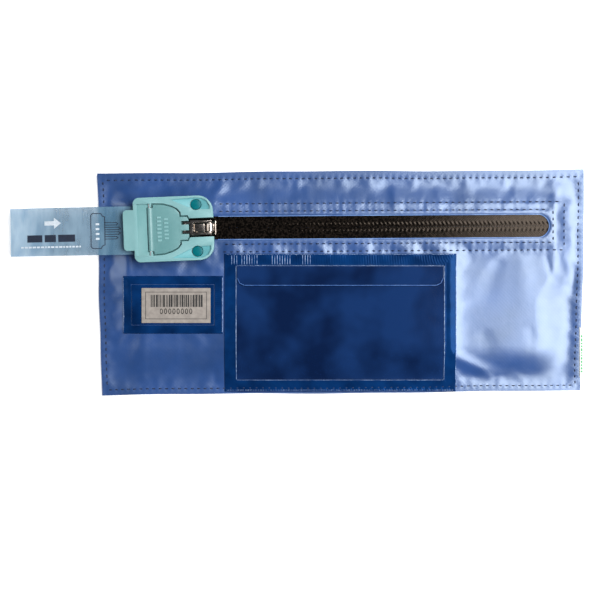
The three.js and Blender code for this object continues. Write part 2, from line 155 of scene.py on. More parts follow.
def add_softbox(name, place, target, size, power):
    data = bpy.data.lights.new(name, "AREA")
    data.shape = "RECTANGLE"
    data.size, data.size_y = size
    data.energy = power
    light = bpy.data.objects.new(name, data)
    light.location = place
    bpy.context.scene.collection.objects.link(light)
    look(light, target)


def srgb(colour):
    """A hex colour as linear red, green, blue and alpha."""
    parts = [int(colour[i : i + 2], 16) / 255 for i in (1, 3, 5)]
    return (*[c / 12.92 if c <= 0.04045 else ((c + 0.055) / 1.055) ** 2.4 for c in parts], 1.0)


def put(tree, node, sockets):
    """Gives a shader node's sockets their values, or links them to other nodes' outputs."""
    for name, value in sockets.items():
        if isinstance(value, bpy.types.NodeSocket):
            tree.links.new(value, node.inputs[name])
        else:
            node.inputs[name].default_value = value


def add(tree, kind, sockets=None, **settings):
    """Adds a shader node: settings are its own, and sockets are values or links."""
    made = tree.nodes.new("ShaderNode" + kind)
    for name, value in settings.items():
        setattr(made, name, value)
    put(tree, made, sockets or {})
    return made


def add_world():
    """A studio: bright walls round the bag and a dark ceiling over it."""
    world = bpy.data.worlds.new("studio")
    world.use_nodes = True
    tree = world.node_tree
    tree.nodes.clear()
    direction = add(tree, "TexCoord").outputs["Generated"]
    height = add(tree, "SeparateXYZ", {0: direction}).outputs["Z"]
    ramp = add(tree, "ValToRGB", {0: height})
    walls, ceiling = ramp.color_ramp.elements
    walls.position, walls.color = 0.1, (0.92, 0.95, 1.0, 1)
    ceiling.position, ceiling.color = 0.6, (0.1, 0.11, 0.13, 1)
    background = add(tree, "Background", {"Color": ramp.outputs[0], "Strength": 0.6})
    add(tree, "OutputWorld", {"Surface": background.outputs[0]})
    bpy.context.scene.world = world


def add_floor():
    """White card, lit a little from within so that it stays white."""
    material, tree, shader = new_material("white_card")
    put(tree, shader, {
        "Base Color": srgb("#f4f4f4"),
        "Roughness": 0.9,
        "Specular IOR Level": 0.1,
        "Emission Color": (1, 1, 1, 1),
        "Emission Strength": 0.4,
    })
    mesh = bpy.data.meshes.new("floor")
    reach = 3.0
    corners = [(x, y, 0) for x, y in rectangle(-reach, reach, -reach, reach)]
    mesh.from_pydata(corners, [], [(0, 1, 2, 3)])
    mesh.materials.append(material)
    floor = bpy.data.objects.new("floor", mesh)
    bpy.context.scene.collection.objects.link(floor)


# --- materials
def new_material(name):
    material = bpy.data.materials.new(name)
    material.use_nodes = True
    tree = material.node_tree
    tree.nodes.clear()
    shader = add(tree, "BsdfPrincipled")
    add(tree, "OutputMaterial", {"Surface": shader.outputs[0]})
    return material, tree, shader


def place_in_mm(tree):
    """Object coordinates, in millimetres: every piece's object sits at the frame's origin."""
    coordinates = add(tree, "TexCoord").outputs["Object"]
    return add(tree, "VectorMath", {0: coordinates, 3: 1 / MM}, operation="SCALE").outputs[0]


def speckle(tree, place, size, detail=2.0):
    """Noise whose grains are about size millimetres, around 0.5."""
    return add(tree, "TexNoise", {"Vector": place, "Scale": 1 / size, "Detail": detail}).outputs[0]


def mixed(tree, share, low, high):
    """A colour between two, each of them a hex colour or a node's output."""
    low, high = [srgb(end) if isinstance(end, str) else end for end in (low, high)]
    return add(tree, "Mix", {0: share, 6: low, 7: high}, data_type="RGBA").outputs[2]


def between(tree, value, from_low, from_high, to_low, to_high):
    """A value carried over from one range to another, and held at its ends."""
    sockets = {0: value, 1: from_low, 2: from_high, 3: to_low, 4: to_high}
    return add(tree, "MapRange", sockets).outputs[0]


def mottled(tree, place, size, detail, low, high, least=0.3, most=0.7):
    """A colour that wanders between two hex colours, in patches about size millimetres wide."""
    return mixed(tree, between(tree, speckle(tree, place, size, detail), least, most, 0, 1), low, high)


def uneven(tree, place, size, detail, low, high):
    """A value that wanders between two, in patches about size millimetres wide."""
    return between(tree, speckle(tree, place, size, detail), 0.3, 0.7, low, high)


def bumped(tree, shader, height, depth_mm, **under):
    """Small relief on the shader, depth_mm high, over an earlier one's normal if that is given."""
    sockets = {"Height": height, "Strength": 1.0, "Distance": depth_mm * MM, **under}
    normal = add(tree, "Bump", sockets).outputs[0]
    put(tree, shader, {"Normal": normal})
    return normal


def surface(name, mottle, sockets, relief):
    """A material with a mottled colour and, if relief gives a grain size and a depth, a fine bump."""
    material, tree, shader = new_material(name)
    place = place_in_mm(tree)
    put(tree, shader, {"Base Color": mottled(tree, place, *mottle), **sockets})
    if relief:
        size, depth = relief
        bumped(tree, shader, speckle(tree, place, size, 2), depth)
    return material


def thread_weave(tree, place, pitch):
    """A plain weave: threads that pass over and under each other, 0 to 1."""
    split = add(tree, "SeparateXYZ", {0: place})
    waves = []
    for axis in ("X", "Y"):
        turned = add(tree, "Math", {0: split.outputs[axis], 1: math.pi / pitch}, operation="MULTIPLY")
        waves.append(add(tree, "Math", {0: turned.outputs[0]}, operation="SINE").outputs[0])
    product = add(tree, "Math", {0: waves[0], 1: waves[1]}, operation="MULTIPLY").outputs[0]
    return between(tree, product, -1, 1, 0, 1)


def coated_cloth():
    """Woven nylon under a satin vinyl coating: an even blue, a soft sheen, and the weave just showing."""
    material, tree, shader = new_material("coated_cloth")
    place = place_in_mm(tree)
    put(tree, shader, {
        "Base Color": mottled(tree, place, 28, 3, "#1a3766", "#21427a"),
        "Roughness": uneven(tree, place, 6, 4, 0.29, 0.35),
        "IOR": 1.7,
        "Specular IOR Level": 0.8,
        "Specular Tint": srgb("#ddedfd"),
    })
    # The real threads are about 0.5 mm apart; they are drawn at 1.1 mm, so that they show.
    normal = bumped(tree, shader, thread_weave(tree, place, 1.1), 0.012)
    bumped(tree, shader, speckle(tree, place, 3.2, 2), 0.035, Normal=normal)
    return material


def welded_vinyl():
    """Heat-welded vinyl film: deep royal blue and glossy, rippled by the welding tool."""
    sockets = {"Roughness": 0.12, "Specular IOR Level": 0.3, "Specular Tint": srgb("#5a98f0")}
    return surface("welded_vinyl", (12, 3, "#041b3e", "#072b59"), sockets, (3.0, 0.02))


def clear_vinyl():
    """Clear blue vinyl over dark cloth: nearly navy, with soft reflections."""
    sockets = {"Roughness": 0.12, "Alpha": 0.82, "Specular IOR Level": 0.15}
    return surface("clear_vinyl", (26, 2, "#08193a", "#122c58", 0.36, 0.64), sockets, (26, 0.2))


def moulded_plastic(name, low, high, roughness, lowest=0.0, highest=30.0, facet=None, gloss=0.5):
    """Injection-moulded ABS with a satin spark-eroded surface, and painted shade darkening its recesses.

    The colour goes from low to high between two heights: painted shade low down, painted light higher up.
    A facet height gets a darker colour of its own: painted shade in that recess.
    """
    material, tree, shader = new_material(name)
    place = place_in_mm(tree)
    height = add(tree, "SeparateXYZ", {0: place}).outputs["Z"]
    # Painted light and shade: the colour is paler the higher a face stands.
    raised = between(tree, height, lowest, highest, 0, 0.8)
    cloud = between(tree, speckle(tree, place, 9, 3), 0.35, 0.65, 0, 0.2)
    shade = add(tree, "Math", {0: raised, 1: cloud}, operation="ADD").outputs[0]
    colour = mixed(tree, shade, low, high)
    if facet:
        # Painted shade: faces at the facet height take a darker colour.
        facet_height, facet_shade_colour = facet
        gap = add(tree, "Math", {0: height, 1: facet_height}, operation="SUBTRACT").outputs[0]
        gap = add(tree, "Math", {0: gap}, operation="ABSOLUTE").outputs[0]
        colour = mixed(tree, between(tree, gap, 0.08, 0.22, 1, 0), colour, facet_shade_colour)
    put(tree, shader, {
        "Base Color": colour,
        "Roughness": uneven(tree, place, 1.5, 3, roughness - 0.05, roughness + 0.06),
        "Specular IOR Level": gloss,
        "Subsurface Weight": 0.12,
        "Subsurface Radius": (0.8, 1.0, 1.0),
        "Subsurface Scale": 1.2 * MM,
    })
    bumped(tree, shader, speckle(tree, place, 0.45, 2), 0.018)
    return material


def dark_chrome():
    """Black-nickel plated zinc: a dark mirror, faintly brown, with fine handling marks."""
    material, tree, shader = new_material("dark_chrome")
    place = place_in_mm(tree)
    put(tree, shader, {
        "Base Color": mottled(tree, place, 3, 3, "#a3978c", "#dcd2c8"),
        "Metallic": 1.0,
        "Roughness": uneven(tree, place, 0.8, 3, 0.1, 0.2),
    })
    bumped(tree, shader, speckle(tree, place, 0.9, 2), 0.02)
    return material


def bright_steel():
    """Plain drawn steel wire and strip: grey, with a soft shine."""
    return surface("bright_steel", (1.5, 3, "#9da0a3", "#c3c5c8"), {"Metallic": 1.0, "Roughness": 0.3}, None)


def zip_cloth():
    """Black woven polyester tape, pressed smooth: nearly black, with thin brownish glints on its threads."""
    material, tree, shader = new_material("zip_tape")
    place = place_in_mm(tree)
    put(tree, shader, {
        "Base Color": mottled(tree, place, 1.1, 1, "#020202", "#16120f", 0.46, 0.6),
        "Roughness": 0.14,
        "Specular IOR Level": 0.2,
        "Specular Tint": srgb("#ffe8d4"),
    })
    # The threads are drawn 0.6 mm apart, about twice as coarse as real ones.
    bumped(tree, shader, thread_weave(tree, place, 0.6), 0.006)
    return material


def sewing_thread():
    """Bonded nylon thread in dark blue: its twist, a turn each 0.5 mm, breaks up the shine."""
    material, tree, shader = new_material("sewing_thread")
    place = place_in_mm(tree)
    put(tree, shader, {
        "Base Color": mottled(tree, place, 0.8, 2, "#081530", "#14284f", 0.35, 0.65),
        "Roughness": 0.55,
    })
    split = add(tree, "SeparateXYZ", {0: place})
    total = add(tree, "Math", {0: split.outputs["X"], 1: split.outputs["Y"]}, operation="ADD")
    turns = add(tree, "Math", {0: total.outputs[0], 1: 2 * math.pi / 0.5}, operation="MULTIPLY")
    twist = add(tree, "Math", {0: turns.outputs[0]}, operation="SINE")
    bumped(tree, shader, twist.outputs[0], 0.05)
    return material


def printed_film():
    """Polyester seal film printed pale blue: streaky and see-through, with painted light paling its free end.
    """
    material, tree, shader = new_material("printed_film")
    place = place_in_mm(tree)
    stretched = add(tree, "Mapping", {"Vector": place, "Scale": (1.0, 0.28, 1.0)}).outputs[0]
    streaks = between(tree, speckle(tree, stretched, 6, 4), 0.36, 0.64, 0, 1)
    near_lock = mixed(tree, streaks, "#4d7088", "#698aa0")
    free_end = mixed(tree, streaks, "#6c93b0", "#96b2c6")
    along = add(tree, "SeparateXYZ", {0: place}).outputs["X"]
    # Painted light: the colour turns paler towards the film's free end.
    put(tree, shader, {
        "Base Color": mixed(tree, between(tree, along, -200, -172, 1, 0), near_lock, free_end),
        "Roughness": 0.28,
        "Alpha": 0.6,
    })
    bumped(tree, shader, speckle(tree, place, 7, 2), 0.12)
    return material


def plain(name, low, high, roughness, size, depth):
    """An even surface with a fine mottle, such as paper, ink, ribbon, or the painted highlight on a squeezed
    bead of vinyl.
    """
    return surface(name, (size, 4, low, high, 0.35, 0.65), {"Roughness": roughness}, (size * 0.4, depth))


# --- mesh making
def finished(mesh, work, material, body, replaces, smooth_angle):
    """An object whose mesh is filled from a bmesh, shaded smooth, and set to ride on its body."""
    bmesh.ops.recalc_face_normals(work, faces=work.faces)
    work.to_mesh(mesh)
    work.free()
    mesh.materials.append(material)
    mesh.shade_smooth()
    mesh.set_sharp_from_angle(angle=math.radians(smooth_angle))
    obj = bpy.data.objects.new(mesh.name, mesh)
    bpy.context.scene.collection.objects.link(obj)
    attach(obj, body)
    if replaces:
        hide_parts(*replaces)
    return obj


def piece(name, points, faces, material, body, slot, replaces=(), smooth_angle=40):
    """An object made from points in millimetres."""
    mesh = bpy.data.meshes.new(name)
    mesh.from_pydata((np.asarray(points) * MM).tolist(), [], faces)
    work = bmesh.new()
    work.from_mesh(mesh)
    return finished(mesh, work, material, body, replaces, smooth_angle)


def refinish(node, material):
    """Gives a CAD node that is kept as it is its real finish."""
    mesh = frame["nodes"][node].data
    mesh.materials.clear()
    mesh.materials.append(material)


def grid_quads(rows, columns):
    """The four-cornered faces between the points of a grid."""
    index = np.arange(rows * columns).reshape(rows, columns)
    corners = [index[:-1, :-1], index[:-1, 1:], index[1:, 1:], index[1:, :-1]]
    return np.stack(corners, axis=-1).reshape(-1, 4)


def slab(top, thickness, keep=None):
    """Points and faces of a closed sheet: a grid of points, its copy below, and a rim round its edges."""
    rows, columns = top.shape[:2]
    quads = grid_quads(rows, columns)
    if keep is not None:
        quads = quads[keep.reshape(-1)]
    upper = top.reshape(-1, 3)
    lower = upper - np.array([0, 0, thickness])
    edges = np.concatenate([quads[:, [k, (k + 1) % 4]] for k in range(4)])
    _, inverse, uses = np.unique(np.sort(edges, axis=1), axis=0, return_inverse=True, return_counts=True)
    rim = edges[uses[inverse.reshape(-1)] == 1]
    count = rows * columns
    sides = np.stack([rim[:, 1], rim[:, 0], rim[:, 0] + count, rim[:, 1] + count], axis=-1)
    faces = np.concatenate([quads, quads[:, ::-1] + count, sides])
    used, faces = np.unique(faces, return_inverse=True)
    points = np.concatenate([upper, lower])[used]
    return points, faces.reshape(-1, 4).tolist()


def join(points, faces, more_points, more_faces):
    """Adds a closed shape's points and faces to those of others."""
    faces += [[i + len(points) for i in face] for face in more_faces]
    points += more_points


def raised(place, z):
    """Points that lie at places seen from above, at heights z."""
    return np.concatenate([place, np.asarray(z)[..., None]], axis=-1)


def patches(quads, to_point, height):
    """Points and faces of thin raised patches, each a four-cornered outline laid on a surface."""
    longest = 3.0
    points, faces = [], []
    for corners in quads:
        a, b, c, d = [np.array(p, float) for p in corners]
        cells = max(1, int(math.ceil(max(np.linalg.norm(b - a), np.linalg.norm(c - d)) / longest)))
        share = np.linspace(0, 1, cells + 1)[:, None]
        rows = np.stack([a + (b - a) * share, d + (c - d) * share])
        top = to_point(rows[..., 0], rows[..., 1]) + np.array([0, 0, height])
        made, made_faces = slab(top, height)
        join(points, faces, made.tolist(), made_faces)
    return points, faces


def rectangle(left, right, bottom, top):
    """Its four corners, counter-clockwise from the lower left one."""
    return [(left, bottom), (right, bottom), (right, top), (left, top)]


def stroke(points, width, closed=False):
    """A line of that width through points, as four-cornered outlines."""
    line = [np.array(p, float) for p in points]
    if closed:
        line.append(line[0])
    made = []
    for start, end in zip(line, line[1:]):
        along = (end - start) / np.linalg.norm(end - start) * width / 2
        side = np.array([-along[1], along[0]])
        made.append([start - along - side, end + along - side, end + along + side, start - along + side])
    return made


def rounded_copy(node, width, material, name=None):
    """A CAD node's shape with its hard edges rounded, as moulding and plating leave them."""
    source = frame["nodes"][node]
    work = bmesh.new()
    work.from_mesh(source.data)
    bmesh.ops.remove_doubles(work, verts=work.verts, dist=2e-6)
    bmesh.ops.dissolve_limit(work, angle_limit=math.radians(0.6), verts=work.verts, edges=work.edges)
    sharp = math.radians(28)
    hard = [e for e in work.edges if e.is_manifold and e.calc_face_angle(0) > sharp]
    shape = {"offset_type": "OFFSET", "segments": 3, "profile": 0.5, "affect": "EDGES", "clamp_overlap": True}
    bmesh.ops.bevel(work, geom=hard, offset=width * MM, **shape)
    mesh = bpy.data.meshes.new(name or node + "_moulded")
    return finished(mesh, work, material, source["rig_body"], [node], 35)


# --- the cloth's shape
def smoothstep(value):
    t = np.clip(value, 0, 1)
    return t * t * (3 - 2 * t)


def tray(x, y):
    """The front panel before it is slackened: low along the seams, with a long smooth rise inside them.

    The rise is shorter beside the lock and the zip, which hold the cloth up.
    """
    _, across = ZIP.measure(x, y)
    short_until, fade = 24, 26
    away = smoothstep((np.abs(across) - short_until) / fade)
    end_width = SHORT_RISE + (LONG_RISE - SHORT_RISE) * away
    end_rise = smoothstep((HALF_LENGTH - np.abs(x) - SEAM_WIDTH) / end_width)
    top_share = np.clip((FRONT_HIGH[1] - y - SEAM_WIDTH) / SHORT_RISE, 0, 1)
    straight = 0.8
    top_rise = straight * top_share + (1 - straight) * smoothstep(top_share)
    bottom_rise = smoothstep((y - FRONT_LOW[1] - SEAM_WIDTH) / LONG_RISE)
    return SEAM_TOP + (PLATEAU - SEAM_TOP) * end_rise * top_rise * bottom_rise


def inside(x, y, node):
    low, high = box(node)
    return (x > low[0]) & (x < high[0]) & (y > low[1]) & (y < high[1])


def held(x, y):
    """Where stitches, welds and the lock hold the cloth."""
    along, across = ZIP.measure(x, y)
    lock_along, lock_across = LOCK.measure(x, y)
    from_side = np.minimum(y - FRONT_LOW[1], FRONT_HIGH[1] - y)
    seam = np.minimum(HALF_LENGTH - np.abs(x), from_side) < SEAM_WIDTH
    zip_start = -30
    zip_zone = (along > zip_start) & (along < INNER_ROW_END + 1) & (np.abs(across) < INNER_ROW + 1)
    lock_start, lock_end, lock_half = -9, 41, 20
    lock_zone = (lock_along > lock_start) & (lock_along < lock_end) & (np.abs(lock_across) < lock_half)
    windows = inside(x, y, "card_pocket_frame") | inside(x, y, "label_window_frame")
    return seam | zip_zone | lock_zone | windows


def slackened():
    """Cloth simulation of the front panel: a sheet cut a little too large, held where it is fixed."""
    step = 3.0
    columns = int(2 * HALF_LENGTH / step) + 1
    rows = int(FRONT_WIDTH / step) + 1
    x, y = np.meshgrid(
        np.linspace(-HALF_LENGTH, HALF_LENGTH, columns),
        np.linspace(FRONT_LOW[1], FRONT_HIGH[1], rows),
    )
    z = tray(x, y)
    fixed = held(x, y)
    ripple = 0.12 * np.sin(x / 7.0 + 0.4 * y) * np.cos(y / 6.0 - 0.1 * x)
    top = np.stack([x, y, z + np.where(fixed, 0, ripple)], axis=-1)
    mesh = bpy.data.meshes.new("slack_cloth")
    mesh.from_pydata((top.reshape(-1, 3) * MM).tolist(), [], grid_quads(rows, columns).tolist())
    obj = bpy.data.objects.new("slack_cloth", mesh)
    bpy.context.scene.collection.objects.link(obj)
    group = obj.vertex_groups.new(name="held")
    group.add(np.flatnonzero(fixed.reshape(-1)).tolist(), 1.0, "REPLACE")
    cloth = obj.modifiers.new("cloth", "CLOTH")
    cloth.settings.vertex_group_mass = "held"
    cloth.settings.shrink_min = -0.008
    cloth.settings.mass = 0.3
    cloth.settings.tension_stiffness = 20
    cloth.settings.compression_stiffness = 20
    cloth.settings.bending_stiffness = 4
    cloth.settings.air_damping = 4
    cloth.settings.effector_weights.gravity = 0.15
    last_frame = 26
    cloth.point_cache.frame_end = last_frame
    scene = bpy.context.scene
    for number in range(1, last_frame + 1):
        scene.frame_set(number)
    evaluated = obj.evaluated_get(bpy.context.evaluated_depsgraph_get())
    settled = np.array([v.co[:] for v in evaluated.data.vertices]).reshape(rows, columns, 3) / MM
    bpy.data.objects.remove(obj)
    scene.frame_set(1)
    furthest = 1.5
    relief = furthest * np.tanh((settled[..., 2] - z) / furthest)
    return x[0], y[:, 0], np.where(fixed, 0, relief)


def blurred(values, passes):
    for _ in range(passes):
        for axis in (0, 1):
            padded = np.pad(values, [(1, 1) if a == axis else (0, 0) for a in (0, 1)], mode="edge")
            first = padded.take(range(0, values.shape[axis]), axis)
            last = padded.take(range(2, values.shape[axis] + 2), axis)
            values = 0.25 * first + 0.5 * values + 0.25 * last
    return values


def resampled(values, from_x, from_y, to_x, to_y):
    across = np.stack([np.interp(to_x, from_x, row) for row in values])
    return np.stack([np.interp(to_y, from_y, column) for column in across.T], axis=1)


def stitch_dimples(along, across):
    """Dimples at the needle holes of a row of stitches, and the cloth drawn down between them."""
    depth, spread = 0.17, 1.1
    near = np.exp(-((across / spread) ** 2))
    return -depth * near * (0.45 + 0.55 * np.cos(2 * math.pi * along / STITCH_PITCH))


def puckers(x, y):
    """Short creases across the rows of stitches round the zip, where the thread gathers the cloth."""
    dice = random.Random(7)
    along, across = ZIP.measure(x, y)
    relief = np.zeros_like(x)
    first = -8.0
    for side in (-1, 1):
        place = first
        while place < OUTER_ROW_END:
            width = dice.uniform(1.3, 2.8)
            depth = dice.uniform(0.03, 0.13)
            length = dice.choice([3, 4, 5, 8, 13])
            lean = dice.uniform(-0.35, 0.35)
            away = side * across - OUTER_ROW
            centre = place + lean * away
            spread = width * (1 + np.clip(away, 0, 20) / 9)
            window = smoothstep((side * across - INNER_ROW + 1) / 2) * smoothstep((length - away) / length)
            relief -= depth * window * np.exp(-(((along - centre) / spread) ** 2))
            place += dice.uniform(4.5, 10)
    return relief


def creases(x, y):
    """Long shallow folds in the free cloth.

    Each has a start, an end, a width and a depth, and is a ridge where its depth is negative.
    """
    relief = np.zeros_like(x)
    for start, end, width, depth in (
        ((127, 17), (134, -8), 2.0, 0.2),
        ((98, 14), (84, -24), 7.0, 0.25),
        ((112, 16), (116, -30), 8.0, -0.2),
        ((88, -30), (96, -56), 7.0, 0.2),
        ((118, -28), (126, -58), 6.0, 0.2),
        ((72, 50), (66, 66), 5.0, 0.25),
        ((100, 50), (108, 66), 5.0, 0.2),
        ((30, 50), (24, 66), 5.0, 0.3),
        ((-30, 52), (-38, 66), 5.0, 0.25),
        ((-112, 8), (-90, 10), 3.0, 0.25),
    ):
        run = math.dist(start, end)
        step_x, step_y = end[0] - start[0], end[1] - start[1]
        along = ((x - start[0]) * step_x + (y - start[1]) * step_y) / run
        across = ((x - start[0]) * step_y - (y - start[1]) * step_x) / run
        spread = width * (0.6 + 0.7 * np.clip(along / run, 0, 1))
        window = smoothstep((along + 3) / 6) * smoothstep((run - along) / (0.6 * run))
        relief -= depth * window * np.exp(-((across / spread) ** 2))
    return relief


class Panel:
    """The front panel's outer face, as heights on a 1 mm grid."""

    def __init__(self):
        self.x = np.linspace(-HALF_LENGTH, HALF_LENGTH, 301)
        self.y = np.linspace(FRONT_LOW[1], FRONT_HIGH[1], 138)
        x, y = np.meshgrid(self.x, self.y)
        coarse_x, coarse_y, relief = slackened()
        self.z = tray(x, y) + blurred(resampled(relief, coarse_x, coarse_y, self.x, self.y), 3)
        along, across = ZIP.measure(x, y)
        for half, end in ((INNER_ROW, INNER_ROW_END), (OUTER_ROW, OUTER_ROW_END)):
            sides = (along < end) & (along > -12)
            self.z += np.where(sides, stitch_dimples(along, np.abs(across) - half), 0)
            self.z += np.where(np.abs(across) < half, stitch_dimples(across, along - end), 0)
        self.z += puckers(x, y) + creases(x, y)
        for corner in box("perimeter_thread"):
            self.z += stitch_dimples(x, y - corner[1]) + stitch_dimples(y, x - corner[0])

    def at(self, x, y):
        """The height at points, between the grid's own."""
        step_x, step_y = self.x[1] - self.x[0], self.y[1] - self.y[0]
        column = np.clip((np.asarray(x, float) - self.x[0]) / step_x, 0, len(self.x) - 1.001)
        row = np.clip((np.asarray(y, float) - self.y[0]) / step_y, 0, len(self.y) - 1.001)
        i, j = column.astype(int), row.astype(int)
        u, v = column - i, row - j
        lower = self.z[j, i] * (1 - u) + self.z[j, i + 1] * u
        upper = self.z[j + 1, i] * (1 - u) + self.z[j + 1, i + 1] * u
        return lower * (1 - v) + upper * v

    def lift(self, x, y, height=0.0):
        """Points on the panel, raised by height."""
        x, y = np.broadcast_arrays(np.asarray(x, float), np.asarray(y, float))
        return np.stack([x, y, self.at(x, y) + height], axis=-1)


# --- cloth pieces
def slot_distance(along, across):
    """How far points are outside the zip slot; negative inside it."""
    end = SLOT_END - SLOT_HALF
    past_end = np.maximum(along - end, 0)
    return np.maximum(np.hypot(past_end, across) - SLOT_HALF, SLOT_START - along)


def wavy_edge(x, y):
    """Moves the outline as cut cloth lies: a little wavy, and stretched up to 2 mm out of square."""
    border, wave = 25, 0.3
    share_x = smoothstep(1 - (HALF_LENGTH - np.abs(x)) / border)
    share_y = smoothstep(1 - np.minimum(y - BACK_LOW[1], BACK_HIGH[1] - y) / border)
    moved_x = x + wave * share_x * (np.sin(y / 17 + np.sign(x)) + 0.5 * np.sin(y / 6.3))
    moved_y = y + wave * share_y * (np.sin(x / 31 + 2 * np.sign(y)) + 0.5 * np.sin(x / 11))
    moved_x += share_x * np.sign(x) * (0.5 + 1.4 * y / HALF_WIDTH)
    upper = 0.4 + 1.1 * x / HALF_LENGTH
    lower = 0.2 + 1.4 * x / HALF_LENGTH
    moved_y += share_y * np.where(y > 0, upper, lower)
    return moved_x, moved_y


def front_cloth(panel, material):
    """The simulated panel, cut open along the zip, with the cut edge rolled under."""
    x, y = np.meshgrid(panel.x, panel.y)
    z = panel.z.copy()
    along, across = ZIP.measure(x, y)
    distance = slot_distance(along, across)
    # Points close to the slot's edge are drawn onto it, so that the edge is smooth.
    end = SLOT_END - SLOT_HALF
    centre = np.minimum(along, end)
    reach = np.maximum(np.hypot(along - centre, across), 1e-6)
    share = SLOT_HALF / reach
    edge = ZIP.point(centre + (along - centre) * share, across * share)
    inner = distance < -0.75
    at_edge = (distance >= 0) & (distance < 0.45) & (along > SLOT_START)
    snapped = ((distance < 0) & ~inner) | at_edge
    x = np.where(snapped, edge[..., 0], x)
    y = np.where(snapped, edge[..., 1], y)
    roll_depth, roll_width = 0.45, 1.3
    z -= roll_depth * np.clip(1 - np.maximum(distance, 0) / roll_width, 0, 1) ** 2 * (along > SLOT_START)
    z = np.where(snapped, z - 0.12, z)
    keep_point = ~inner
    keep = keep_point[:-1, :-1] & keep_point[:-1, 1:] & keep_point[1:, 1:] & keep_point[1:, :-1]
    top = np.stack([*wavy_edge(x, y), z], axis=-1)
    points, faces = slab(top, CLOTH, keep)
    obj = piece("front_cloth", points, faces, material, "bag", "coated_cloth", ["front_panel"])


def back_cloth(material):
    """The back panel, lying on the floor, a little wavy along its edges."""
    x, y = np.meshgrid(
        np.linspace(BACK_LOW[0], BACK_HIGH[0], 151), np.linspace(BACK_LOW[1], BACK_HIGH[1], 70)
    )
    z = CLOTH + 0.12 * (1 + np.sin(x / 23 + y / 31)) * smoothstep((60 - np.abs(y)) / 60)
    points, faces = slab(np.stack([*wavy_edge(x, y), z], axis=-1), CLOTH)
    points[:, 2] = np.maximum(points[:, 2], 0)
    obj = piece("back_cloth", points, faces, material, "bag", "coated_cloth", ["back_panel"])


def straight_line(start, end):
    """A line's start, its length, its direction and the direction across it."""
    start, end = np.array(start, float), np.array(end, float)
    run = np.linalg.norm(end - start)
    direction = (end - start) / run
    return start, run, direction, np.array([-direction[1], direction[0]])


def stitch_row(panel, start, end):
    """Points and faces of the stitches along one straight row: short threads that dip at their ends."""
    start, run, direction, side = straight_line(start, end)
    length, radius, dip, lift = 2.0, 0.36, 0.42, 0.32
    rings, sides = 7, 6
    points, faces = [], []
    for k in range(int(run / STITCH_PITCH)):
        middle = start + direction * (k + 0.5) * STITCH_PITCH
        for r in range(rings):
            share = r / (rings - 1)
            on_row = middle + direction * (share - 0.5) * length
            swell = radius * math.sin(math.pi * (0.1 + 0.8 * share)) ** 0.5
            height = float(panel.at(*middle)) + lift - dip * (2 * share - 1) ** 2
            for s in range(sides):
                turn = 2 * math.pi * s / sides
                offset = on_row + side * swell * math.cos(turn)
                points.append([*offset, height + swell * math.sin(turn)])
        first = len(points) - rings * sides
        for r in range(rings - 1):
            for s in range(sides):
                a, b = first + r * sides + s, first + r * sides + (s + 1) % sides
                faces.append([a, b, b + sides, a + sides])
        faces.append([first + s for s in range(sides)])
        faces.append([first + (rings - 1) * sides + s for s in reversed(range(sides))])
    return points, faces


def stitch_rows(name, panel, corners, material, node):
    points, faces = [], []
    for start, end in zip(corners, corners[1:]):
        join(points, faces, *stitch_row(panel, start, end))
    points = np.array(points)
    points[:, 0], points[:, 1] = wavy_edge(points[:, 0], points[:, 1])
    piece(name, points, faces, material, "bag", "sewing_thread", [node], smooth_angle=80)


def all_stitches(panel, material):
    low, high = box("perimeter_thread")
    inset = 0.4
    ring = rectangle(low[0] + inset, high[0] - inset, low[1] + inset, high[1] - inset)
    stitch_rows("seam_stitches", panel, [*ring, ring[0]], material, "perimeter_thread")
    for name, half, end in (("inner", INNER_ROW, INNER_ROW_END), ("outer", OUTER_ROW, OUTER_ROW_END)):
        turns = (ROW_START, half), (end, half), (end, -half), (ROW_START, -half)
        corners = [ZIP.point(along, across) for along, across in turns]
        stitch_rows(f"zip_stitches_{name}", panel, corners, material, f"zip_thread_{name}")


def side_tag(material, ink):
    """A folded woven ribbon caught in the end seam, with a row of plain dashes woven into it."""
    rounded_copy("side_label", 0.12, material, name="side_tag")
    low, high = box("side_label")
    dice = random.Random(3)
    dashes = []
    y = low[1] + 3
    while y < high[1] - 6:
        length = dice.uniform(0.8, 1.9)
        dashes += [rectangle(low[0] + 0.7, low[0] + 1.7, y, y + length)]
        y += length + 0.7
    on_tag = lambda x, y: np.stack([x, y, np.full_like(x, high[2])], axis=-1)
    piece("side_tag_dashes", *patches(dashes, on_tag, 0.05), ink, "bag", "woven_tag")


